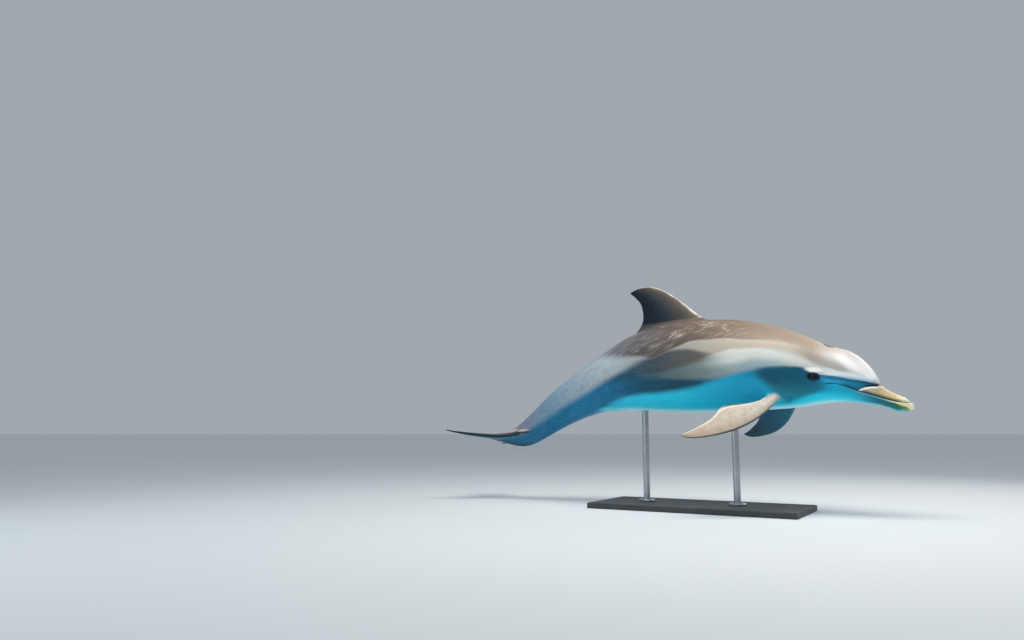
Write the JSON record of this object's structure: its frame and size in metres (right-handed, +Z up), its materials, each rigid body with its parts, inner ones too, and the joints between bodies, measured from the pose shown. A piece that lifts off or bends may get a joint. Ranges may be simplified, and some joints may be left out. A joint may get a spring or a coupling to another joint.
{
  "type": "bottlenose dolphin model on display stand",
  "caption": "Life-size bottlenose dolphin in a level swimming pose, tail lowered, flippers spread, held by two rods on a flat display base.",
  "frame": {"origin": "centre of the stand's foot, on the floor", "axes": "+X toward the snout, +Y the animal's left side, +Z up"},
  "size_m": [2.498, 1.0742, 1.2304],
  "materials": {
    "skin": "smooth wet skin: taupe cape, grey flank, pale belly, satin gloss",
    "eye": "polished dark brown",
    "stand_paint": "dark grey satin powder coat",
    "stand_steel": "brushed"
  },
  "bodies": {
    "root": {"head": "skin", "lower_jaw": "skin", "eye_left": "eye", "eye_right": "eye", "trunk": "skin", "dorsal_fin": "skin", "flipper_left": "skin", "flipper_right": "skin", "tail_stock": "skin", "fluke_left": "skin", "fluke_right": "skin", "stand_base": "stand_paint", "stand_flange_front": "stand_steel", "stand_flange_rear": "stand_steel", "stand_rod_front": "stand_steel", "stand_rod_rear": "stand_steel"}
  },
  "joints": []
}
